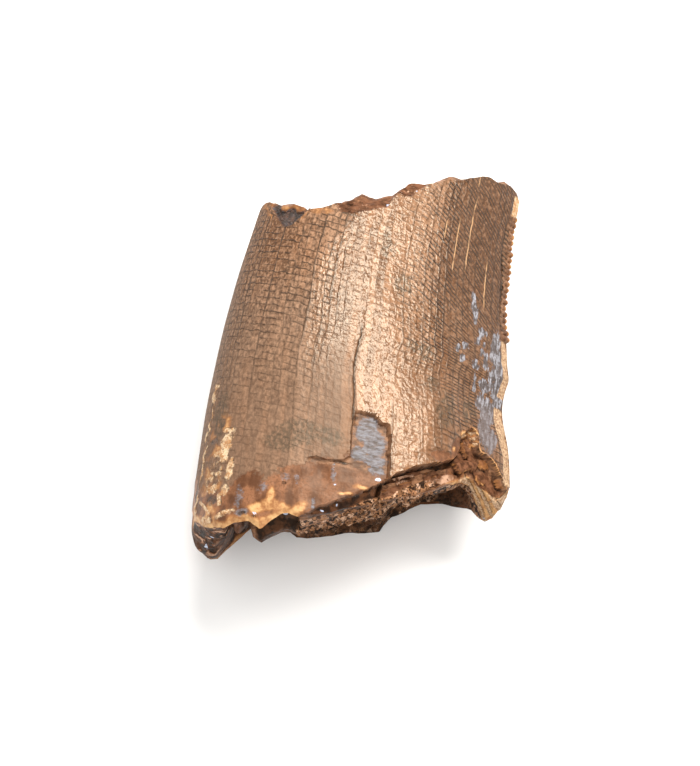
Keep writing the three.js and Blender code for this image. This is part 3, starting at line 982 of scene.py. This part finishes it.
# ---- Finish ----
class Finish:
    """A node material being put together."""

    def __init__(self, name):
        self.material = bpy.data.materials.new(name)
        self.material.use_nodes = True
        self.tree = self.material.node_tree
        self.shader = self.tree.nodes["Principled BSDF"]

    def node(self, kind, inputs=(), output=0, **settings):
        """One output of a new node."""
        node = self.tree.nodes.new("ShaderNode" + kind)
        for name, value in settings.items():
            setattr(node, name, value)
        for key, value in dict(inputs).items():
            self.link(value, node.inputs[key])
        return node.outputs[output]

    def link(self, value, socket):
        if hasattr(value, "is_output"):
            self.tree.links.new(value, socket)
        else:
            socket.default_value = value

    def sum(self, kind, *values):
        return self.node("Math", enumerate(values), operation=kind)

    def chain(self, kind, values):
        total = values[0]
        for value in values[1:]:
            total = self.sum(kind, total, value)
        return total

    def plus(self, *values):
        return self.chain("ADD", values)

    def minus(self, *values):
        return self.chain("SUBTRACT", values)

    def times(self, *values):
        return self.chain("MULTIPLY", values)

    def max(self, *values):
        return self.chain("MAXIMUM", values)

    def power(self, value, exponent):
        return self.sum("POWER", value, exponent)

    def blend(self, part, under, over):
        """A number between two others."""
        return self.plus(under, self.times(part, self.minus(over, under)))

    def attribute(self, name):
        return self.node("Attribute", output="Fac", attribute_name=name)

    def solid(self):
        """Place in the object, in millimetres."""
        place = self.node("TexCoord", output="Object")
        return self.node("VectorMath", {0: place, "Scale": 1 / MM}, operation="SCALE")

    def vector(self, x, y, z=0):
        return self.node("CombineXYZ", enumerate((x, y, z)))

    def stretched(self, where, x, y, z=1):
        return self.node("VectorMath", {0: where, 1: (x, y, z)}, operation="MULTIPLY")

    def noise(self, where, scale, detail=2, rough=0.5):
        inputs = {"Vector": where, "Scale": scale, "Detail": detail, "Roughness": rough}
        return self.node("TexNoise", inputs, "Fac")

    def scatter(self, where):
        return self.node("TexWhiteNoise", {"Vector": where}, "Value", noise_dimensions="3D")

    def cells(self, where, scale, output="Distance"):
        return self.node("TexVoronoi", {"Vector": where, "Scale": scale}, output)

    def ease(self, value, low, high, bottom=0, top=1):
        inputs = enumerate((value, low, high, bottom, top))
        return self.node("MapRange", inputs, "Result", interpolation_type="SMOOTHSTEP")

    def fade(self, value, low, high, top=1):
        return self.ease(value, low, high, top, 0)

    def span(self, value, low, full, still_full, high):
        return self.times(self.ease(value, low, full), self.fade(value, still_full, high))

    def tint(self, part, under, over):
        """A colour or a node mixed over another."""
        inputs = {"Factor": part}
        for key, value in ((6, under), (7, over)):
            inputs[key] = (*value, 1) if isinstance(value, tuple) else value
        return self.node("Mix", inputs, 2, data_type="RGBA")

    def bump(self, height, distance, under=None):
        inputs = {"Strength": 1, "Distance": distance * MM, "Height": height}
        if under is not None:
            inputs["Normal"] = under
        return self.node("Bump", inputs, "Normal")


# ---- Colours ----
ENAMEL_DEEP, ENAMEL_MID = (0.145, 0.064, 0.028), (0.23, 0.115, 0.06)
ENAMEL_WARM, ENAMEL_PALE = (0.27, 0.115, 0.046), (0.42, 0.24, 0.14)
ENAMEL_GREYISH = (0.155, 0.1, 0.068)
ENAMEL_SHADY, ENAMEL_DARK = (0.075, 0.024, 0.005), (0.045, 0.018, 0.007)
MOTTLE = (0.082, 0.054, 0.032)
CRACK, CRACK_FILL = (0.016, 0.006, 0.002), (0.6, 0.35, 0.17)
WALL_DARK, WALL_PALE = (0.085, 0.036, 0.018), (0.25, 0.12, 0.06)
BROWN_DARK, BROWN_PALE = (0.06, 0.023, 0.01), (0.18, 0.075, 0.037)
PINK_DARK, PINK_PALE = (0.2, 0.1, 0.055), (0.46, 0.27, 0.175)
DENTINE_DARK, DENTINE_PALE = (0.09, 0.03, 0.01), (0.25, 0.104, 0.047)
GOLD_DARK, GOLD_PALE = (0.33, 0.13, 0.038), (0.66, 0.39, 0.17)
SMOKE_DARK, SMOKE_PALE = (0.07, 0.055, 0.052), (0.2, 0.205, 0.235)
LEACHED_RIM, LEACHED_DUSK = (0.22, 0.12, 0.085), (0.15, 0.115, 0.11)
LEACHED_DARK, LEACHED_PALE = (0.08, 0.062, 0.06), (0.32, 0.315, 0.345)
STONE_DARK, STONE_MID, STONE_PALE = (0.03, 0.013, 0.006), (0.36, 0.17, 0.08), (0.64, 0.39, 0.25)
# dark glaze and dark spots share these colours with the painted shade in recesses, hollows, the pulp
# cavity and under overhanging edges
TAR_AND_SHADE, TAR_AND_SHADE_BROWN = (0.012, 0.006, 0.004), (0.09, 0.036, 0.016)
MATRIX_CREAM, MATRIX_GOLD = (0.7, 0.52, 0.33), (0.42, 0.2, 0.075)
BARE_AND_HIGHLIGHT_PALE, BARE_AND_HIGHLIGHT_DARK = (0.56, 0.38, 0.23), (0.28, 0.15, 0.08)
# colour of the painted glints
PAINTED_GLINT = (0.5, 0.55, 0.68)
FOSSIL_IOR = 1.46
FOSSIL_TINT = (1, 0.9, 0.74, 1)
CROWN_SHINE, BROKEN_SHINE = 0.5, 0.12
FLOOR_COLOUR, FLOOR_DULLNESS = (0.9, 0.9, 0.9, 1), 0.9

# ---- Crazing ----
STRIP = 0.5
LEFT_RUNG, RIGHT_RUNG = 0.5, 0.34
GRAVEL = 3.8
FILLED_CRACKS = (
    # across, from, to along the crown
    (6.78, 9.2, 15.3), (6.62, 15.9, 17.2), (5.84, 8.6, 13.4), (8.37, 6.9, 10.9), (4.9, 11, 13),
)
LONG_CRACKS = (
    # across, from, to along the crown, darkness
    (-0.2, -7.6, 3.6, 0.9), (2.25, -7.4, -1.4, 0.45), (-2.9, -2, 3, 0.45), (4.1, -5, -1, 0.4),
)


class Fossil(Finish):
    """The finish of the tooth: patterns and patches that its colour, gloss and relief share."""

    def __init__(self, name):
        super().__init__(name)
        self.across, self.along = self.attribute("across"), self.attribute("along")
        self.plan = self.vector(self.across, self.along)
        self.place = self.solid()
        self.shake = self.minus(self.noise(self.plan, 1.6, 3), 0.5)
        self.fray = self.minus(self.noise(self.place, 3.6, 4, 0.65), 0.5)
        self.fine = self.noise(self.place, 7, 3, 0.6)
        self.middle = self.noise(self.place, 1.6, 4, 0.55)
        self.splinters = self.noise(self.stretched(self.place, 0.6, 1.5, 2.2), 2.2, 4, 0.6)
        self.fibres = self.noise(self.stretched(self.place, 0.6, 1.6, 1), 3.2, 4, 0.65)
        self.streaks = self.noise(self.stretched(self.place, 2.4, 0.7, 1), 2.4, 4, 0.65)
        self.gravel = self.stretched(self.place, 1, 1, 0.5)
        self.enamel = self.attribute("enamel")
        self.dentine = self.zone("dentine", 0.25, 0.75)
        self.smoke = self.times(self.zone("smoky", 0.2, 0.8), 0.9)
        self.crystal = self.zone("crystal", 0.35, 0.65)
        self.tar = self.zone("tar", 0.3, 0.75, 0.8)
        self.matrix, self.bare = self.zone("matrix", 0.35, 0.95, 2.2), self.zone("bare")
        self.glint = self.zone("glint", 0.3, 0.6, 0.8)
        share = self.attribute("leached")
        frayed = self.times(self.minus(self.streaks, 0.5), 2.6, self.ease(share, 0, 0.3))
        self.leached_share = self.plus(share, frayed)
        self.leached = self.ease(self.leached_share, 0.42, 0.62)
        self.crisp = crispness(self, self.across, self.along)

    def paint(self, share, over):
        """Lay a colour over what is painted so far."""
        self.colour = self.tint(share, self.colour, over)

    def zone(self, name, low=0.4, high=0.6, frayed=1.6):
        """A patch with a frayed edge."""
        share = self.attribute(name)
        fraying = self.times(self.fray, frayed, self.ease(share, 0, 0.3))
        return self.ease(self.plus(share, fraying), low, high)


def crispness(f, across, along):
    """How clearly crazing and grain show: less on the worn lower left, the crest and the slab."""
    worn = f.blend(f.ease(across, -1, 1.5), f.ease(along, -6, 9, 0.35, 1), 1)
    crest = f.ease(f.sum("ABSOLUTE", f.minus(across, 0.2)), 1.2, 3.4, 0.4, 1)
    slab = f.times(f.fade(across, 4.6, 6.6), f.fade(along, -0.5, 3.5, 0.65))
    slab = f.times(slab, f.ease(across, -0.3, 0.1))
    return f.times(worn, crest, f.minus(1, slab))


def rung_place(f, along, pitch, stagger):
    """Place along the crown counted in rungs, a little different in each column."""
    return f.plus(f.times(along, 1 / pitch), stagger, f.times(f.shake, 0.6))


def rung_cracks(f, strip, place, pitch, width, soft):
    """The short cracks across each column."""
    gap = f.times(f.sum("PINGPONG", place, 0.5), pitch)
    kept = f.ease(f.scatter(f.vector(strip, f.sum("ROUND", place), 7)), 0.05, 0.5, 0.15, 1)
    return f.times(f.fade(gap, width, width + soft), kept)


def along_line(f, waver, place, low, high, width, wobble):
    """One crack along the crown."""
    gap = f.sum("ABSOLUTE", f.plus(f.minus(f.across, place), f.times(waver, wobble)))
    return f.times(f.fade(gap, 0.02, width), f.span(f.along, low, low + 0.6, high - 0.8, high))


def filled_cracks(f, waver):
    """The pale cracks that are filled with matrix."""
    filled = 0
    for place, low, high in FILLED_CRACKS:
        filled = f.max(filled, along_line(f, waver, place, low, high, 0.055, 0.12))
    patchy = f.ease(f.noise(f.plan, 1.2, 2), 0.36, 0.5, 0.25, 1)
    return f.times(filled, patchy, f.enamel)


def crazing(f):
    """Net of fine cracks: how dark they are, the tone of each cell and column, and the filled ones."""
    across, along, plan = f.across, f.along, f.plan
    curl = f.power(f.max(f.minus(across, 1), 0), 2)
    sway = f.minus(f.noise(plan, 0.45, 1), 0.5)
    waver = f.minus(f.noise(f.vector(across, f.times(along, 0.55)), 2.4, 2), 0.5)
    strips = f.plus(f.times(across, 1 / STRIP), f.times(curl, 0.018))
    strips = f.plus(strips, f.times(sway, 0.8), f.times(waver, 0.45))
    strip = f.sum("FLOOR", strips)
    strip_gap = f.times(f.sum("PINGPONG", strips, 0.5), STRIP)
    stagger = f.scatter(f.vector(strip, 3))
    depth_of_strip = f.ease(f.scatter(f.vector(f.sum("ROUND", strips), 5)), 0.1, 0.9, 0.25, 1)

    left_place = rung_place(f, f.plus(along, f.times(across, 0.2)), LEFT_RUNG, f.times(stagger, 0.2))
    left_crack = f.max(
        f.times(f.fade(strip_gap, 0.015, 0.1, 0.95), depth_of_strip),
        rung_cracks(f, strip, left_place, LEFT_RUNG, 0.01, 0.07),
    )
    # on the carina side the rungs fall away, the more so towards the tip
    fall = f.times(across, f.ease(along, -3, 5, 0.02, 0.3))
    slant = f.times(curl, f.ease(along, 0, 6, 0, 0.055))
    right_place = rung_place(f, f.plus(along, fall, slant), RIGHT_RUNG, f.times(stagger, 0.25))
    upright = f.times(f.fade(strip_gap, 0.03, 0.11), f.ease(along, 0, 6, 0.9, 0.7))
    right_crack = f.max(
        f.times(upright, f.plus(0.3, f.times(depth_of_strip, 0.7))),
        rung_cracks(f, strip, right_place, RIGHT_RUNG, 0.032, 0.06),
    )
    right = f.ease(across, 2, 4.5)
    patchy = f.ease(f.noise(plan, 0.7, 4, 0.6), 0.34, 0.56, 0.5, 1)
    crack = f.times(f.blend(right, left_crack, right_crack), f.max(patchy, f.times(right, 0.8)))
    crack = f.times(crack, f.crisp)
    tone = f.scatter(f.vector(strip, f.sum("FLOOR", left_place), 1))
    column = f.scatter(f.vector(strip, 11))

    for place, low, high, darkness in LONG_CRACKS:
        crack = f.max(crack, f.times(along_line(f, waver, place, low, high, 0.11, 0.25), darkness))
    crack = f.times(crack, f.enamel, f.ease(f.dentine, 0.2, 1, 1, 0.12))
    return crack, tone, column, filled_cracks(f, waver)


def shady_sides(f):
    """How much painted shade the enamel gets by its place: both sides, and a stretch of the slab."""
    across, along = f.across, f.along
    towards_tip = f.ease(along, 2, 11, 0.2, 0.65)
    shade = f.times(f.fade(across, -7, -3, 0.85), towards_tip)
    shade = f.plus(shade, f.times(f.ease(across, 2.8, 6.2), f.ease(along, 0, 9, 0.32, 0.78)))
    shade = f.max(shade, f.fade(across, -9.8, -7.5, 0.5))
    slab = f.times(f.span(across, 2.2, 3.2, 4.6, 6.2), f.span(along, -2.6, -1.2, 3, 5), 0.32)
    return f.max(shade, slab)


def paint_enamel(f, crack, tone, column, filled):
    """The enamel: mottled, streaked, with painted shade at the sides, with its cracks."""
    across, along, crisp = f.across, f.along, f.crisp
    large = f.noise(f.plan, 0.3, 3)
    grain = f.noise(f.vector(across, f.times(along, 0.6)), 5, 3, 0.65)
    streak = f.noise(f.vector(f.times(across, 1.5), f.times(along, 0.22)), 1, 3)
    f.colour = f.tint(f.ease(large, 0.34, 0.66), ENAMEL_DEEP, ENAMEL_MID)
    f.paint(f.ease(streak, 0.42, 0.66, 0, 0.55), ENAMEL_WARM)
    f.paint(f.ease(tone, 0, 1, 0, 0.3), ENAMEL_PALE)
    dark_column = f.times(f.fade(column, 0.25, 0.6, 0.3), f.ease(across, 4, 6, 1, 0.4))
    f.paint(dark_column, ENAMEL_DARK)
    f.paint(f.ease(column, 0.75, 0.95, 0, 0.22), ENAMEL_PALE)
    f.paint(shady_sides(f), ENAMEL_SHADY)
    # greyer and darker towards the lower left
    greyer_low_left = f.times(f.fade(across, -1.5, -0.2), f.fade(along, 3, 9, 0.45))
    f.paint(greyer_low_left, ENAMEL_GREYISH)
    pale_band = f.times(f.ease(across, 1.2, 2.6), f.fade(across, 3.6, 5.4, 0.26))
    f.paint(f.times(pale_band, f.ease(along, 3.5, 8)), ENAMEL_PALE)
    f.paint(f.times(f.ease(grain, 0.5, 0.62, 0, 0.75), crisp), ENAMEL_DARK)
    pale_grain = f.times(f.fade(grain, 0.38, 0.5, 0.5), crisp, f.ease(across, 3.5, 6, 1, 0.5))
    f.paint(pale_grain, ENAMEL_PALE)
    stain = f.times(f.zone("stained", 0.2, 0.8), f.ease(grain, 0.4, 0.56, 0.2, 0.75))
    f.paint(stain, MOTTLE)
    f.paint(f.times(crack, 0.92), CRACK)
    f.paint(f.times(filled, 0.7), CRACK_FILL)


def paint_wall(f):
    """The wall under the enamel: layers, brown and pink chips, warm dentine and its golden rim."""
    layers = f.ease(f.plus(f.times(f.splinters, 0.6), f.times(f.middle, 0.4)), 0.4, 0.6)
    layered = f.tint(layers, WALL_DARK, WALL_PALE)
    f.paint(f.max(f.zone("layered"), f.minus(1, f.enamel)), layered)
    brown = f.tint(f.ease(f.splinters, 0.35, 0.65), BROWN_DARK, BROWN_PALE)
    f.paint(f.zone("brown"), brown)
    f.paint(f.zone("pale"), f.tint(f.ease(f.middle, 0.4, 0.6), PINK_DARK, PINK_PALE))
    clouds = f.noise(f.place, 0.9, 3, 0.5)
    drips = f.noise(f.stretched(f.place, 1.1, 0.4), 1.3, 3, 0.5)
    cloudy = f.ease(f.plus(f.times(clouds, 0.5), f.times(drips, 0.5)), 0.4, 0.58)
    dentine = f.tint(cloudy, DENTINE_DARK, DENTINE_PALE)
    dentine = f.tint(f.ease(f.fine, 0.47, 0.62, 0, 0.5), dentine, DENTINE_DARK)
    dentine = f.tint(f.minus(0.3, f.times(f.enamel, 0.3)), dentine, DENTINE_DARK)
    f.paint(f.dentine, dentine)
    share = f.attribute("golden")
    gold = f.plus(share, f.times(f.minus(f.middle, 0.5), 1.5), f.times(f.fray, 0.8))
    golden = f.tint(f.ease(gold, 0.45, 1.25), GOLD_DARK, GOLD_PALE)
    f.paint(f.times(f.ease(share, 0, 0.5), f.ease(gold, 0, 0.95, 0, 0.95)), golden)


def paint_patches(f):
    """Blue-grey and leached patches."""
    smoky = f.tint(f.ease(f.fibres, 0.32, 0.66), SMOKE_DARK, SMOKE_PALE)
    f.paint(f.smoke, smoky)
    f.paint(f.times(f.ease(f.leached_share, 0.2, 0.45), 0.5), LEACHED_RIM)
    bleached = f.tint(f.ease(f.streaks, 0.46, 0.62), LEACHED_DARK, LEACHED_PALE)
    bleached = f.tint(f.fade(f.along, -1.2, 1.2, 0.65), bleached, LEACHED_DUSK)
    f.paint(f.leached, bleached)


def paint_stone(f):
    """Stone in the root, dark glaze and painted shade, stuck matrix, pale broken edges and painted
    highlights, and painted glints.
    """
    stone_tone = f.scatter(f.cells(f.gravel, GRAVEL, "Position"))
    stone = f.tint(f.ease(stone_tone, 0.1, 0.4), STONE_DARK, STONE_MID)
    stone = f.tint(f.ease(stone_tone, 0.78, 0.86), stone, STONE_PALE)
    stone = f.tint(f.ease(f.fine, 0.46, 0.62), stone, STONE_DARK)
    f.paint(f.crystal, stone)
    smears = f.noise(f.stretched(f.place, 1, 1, 0.45), 1.7, 4, 0.6)
    f.paint(f.times(f.tar, 0.94), f.tint(f.ease(smears, 0.42, 0.62), TAR_AND_SHADE, TAR_AND_SHADE_BROWN))
    crumbly = f.ease(f.plus(f.times(f.fine, 0.5), f.times(f.middle, 0.5)), 0.4, 0.58)
    f.paint(f.matrix, f.tint(crumbly, MATRIX_CREAM, MATRIX_GOLD))
    f.paint(f.bare, f.tint(f.ease(f.fine, 0.4, 0.62), BARE_AND_HIGHLIGHT_PALE, BARE_AND_HIGHLIGHT_DARK))
    f.paint(f.glint, PAINTED_GLINT)


def dullness(f):
    """Roughness of the surface."""
    across, along = f.across, f.along
    dull = f.times(f.fade(across, -0.6, 0.3), f.fade(along, -2.5, 3.5))
    polished_from = f.ease(along, 7, 11.5, -4, -2.4)
    unpolished = f.fade(f.minus(across, polished_from), -0.3, 0.5)
    rough = f.ease(f.noise(f.plan, 1.4, 4), 0.3, 0.7, 0.15, 0.21)
    rough = f.plus(rough, f.times(dull, 0.34), f.times(unpolished, 0.45))
    rough = f.plus(rough, f.times(f.max(f.matrix, f.bare), 0.35), f.times(f.leached, 0.1))
    rough = f.plus(rough, f.fade(across, -9, -6.5, 0.2), f.ease(across, 4, 7.5, 0, 0.38))
    rough = f.blend(f.dentine, f.sum("MINIMUM", rough, 0.75), 0.52)
    rough = f.blend(f.minus(1, f.enamel), rough, 0.5)
    rough = f.blend(f.tar, rough, 0.42)
    return f.times(rough, f.ease(f.glint, 0, 1, 1, 0.4))


def relief(f, crack):
    """Fine relief, each kind over the one before."""
    pebbles = f.noise(f.vector(f.across, f.times(f.along, 0.7)), 3.2, 2, 0.5)
    pebbly = f.times(f.enamel, f.ease(f.dentine, 0, 1, 1, 0.25))
    lumps = f.noise(f.stretched(f.place, 1, 1, 0.4), 2.2, 3, 0.5)
    unsplintered = f.max(pebbly, f.tar, f.dentine, f.attribute("brown"))
    normal = None
    for height, distance in (
        (f.times(pebbles, pebbly), 0.08),
        (f.minus(1, crack), 0.03),
        (f.times(f.fine, f.max(f.leached, f.matrix, f.crystal, f.bare)), 0.12),
        (f.times(f.splinters, f.minus(1, unsplintered)), 0.08),
        (f.times(lumps, f.max(f.tar, f.times(f.dentine, 0.3))), 0.2),
        (f.times(f.cells(f.gravel, GRAVEL), f.crystal), -0.08),
        (f.times(f.fibres, f.smoke), 0.06),
    ):
        normal = f.bump(height, distance, normal)
    return normal


def fossil_finish(name, shine):
    f = Fossil(name)
    crack, tone, column, filled = crazing(f)
    paint_enamel(f, crack, tone, column, filled)
    paint_wall(f)
    paint_patches(f)
    paint_stone(f)
    f.link(f.colour, f.shader.inputs["Base Color"])
    f.link(dullness(f), f.shader.inputs["Roughness"])
    f.link(relief(f, crack), f.shader.inputs["Normal"])
    f.shader.inputs["IOR"].default_value = FOSSIL_IOR
    f.shader.inputs["Specular IOR Level"].default_value = shine
    f.shader.inputs["Specular Tint"].default_value = FOSSIL_TINT
    return f.material


def floor_finish():
    f = Finish("pale_floor")
    f.shader.inputs["Base Color"].default_value = FLOOR_COLOUR
    f.shader.inputs["Roughness"].default_value = FLOOR_DULLNESS
    return f.material


# ---- Tooth ----
SHIFT = placing()
tooth_mesh = build_tooth("fossil_tooth")
settle(tooth_mesh, SHIFT)
for polygon in tooth_mesh.polygons:
    polygon.use_smooth = True
tooth_mesh.set_sharp_from_angle(angle=math.radians(SHARP_ANGLE))
tooth_mesh.materials.append(fossil_finish("fossil_crown", CROWN_SHINE))
tooth_mesh.materials.append(fossil_finish("fossil_broken_face", BROKEN_SHINE))
tooth = bpy.data.objects.new("fossil_tooth", tooth_mesh)
bpy.context.collection.objects.link(tooth)
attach(tooth, "root")
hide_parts(NODE)

# ---- Floor, light and camera ----
FLOOR_HALF = 0.8
DAYLIGHT = 0.35
CAMERA_AZIMUTH, CAMERA_ELEVATION = 7, 70
CAMERA_DISTANCE = 0.17
CAMERA_LENS, CAMERA_SENSOR = 131.1, 36
AIM = SHIFT + Vector((-0.43, 0.8, 6)) * MM

floor_bm = bmesh.new()
bmesh.ops.create_grid(floor_bm, x_segments=1, y_segments=1, size=FLOOR_HALF)
floor_mesh = bpy.data.meshes.new("floor")
floor_bm.to_mesh(floor_mesh)
floor_bm.free()
floor = bpy.data.objects.new("floor", floor_mesh)
bpy.context.collection.objects.link(floor)
floor_mesh.materials.append(floor_finish())


def direction(azimuth, elevation):
    turn, tilt = math.radians(azimuth), math.radians(elevation)
    return Vector((
        math.sin(turn) * math.cos(tilt),
        -math.cos(turn) * math.cos(tilt),
        math.sin(tilt),
    ))


def soft_light(name, azimuth, elevation, size, power, far=0.5, colour=(1, 1, 1)):
    """A soft box looking at the tooth; size is its width and height."""
    data = bpy.data.lights.new(name, "AREA")
    data.shape = "RECTANGLE"
    data.size, data.size_y = size
    data.energy = power
    data.color = colour
    lamp = bpy.data.objects.new(name, data)
    towards = direction(azimuth, elevation)
    lamp.location = AIM + towards * far
    lamp.rotation_euler = towards.to_track_quat("Z", "Y").to_euler()
    bpy.context.collection.objects.link(lamp)
    return lamp


soft_light("key", 157, 52, (0.45, 0.155), 4.4, colour=(1, 0.97, 0.93))
soft_light("fill", -20, 72, (0.7, 0.7), 2.8, colour=(1, 0.98, 0.95))

world = bpy.data.worlds.new("studio")
world.use_nodes = True
background = world.node_tree.nodes["Background"]
background.inputs["Color"].default_value = (1, 1, 1, 1)
background.inputs["Strength"].default_value = DAYLIGHT
bpy.context.scene.world = world
bpy.context.scene.view_settings.view_transform = "Standard"

camera_data = bpy.data.cameras.new("camera")
camera_data.sensor_width = CAMERA_SENSOR
camera_data.sensor_fit = "HORIZONTAL"
camera_data.lens = CAMERA_LENS
camera_data.clip_start = 0.01
camera = bpy.data.objects.new("camera", camera_data)
back = direction(CAMERA_AZIMUTH, CAMERA_ELEVATION)
camera.location = AIM + back * CAMERA_DISTANCE
camera.rotation_euler = back.to_track_quat("Z", "Y").to_euler()
bpy.context.collection.objects.link(camera)
bpy.context.scene.camera = camera
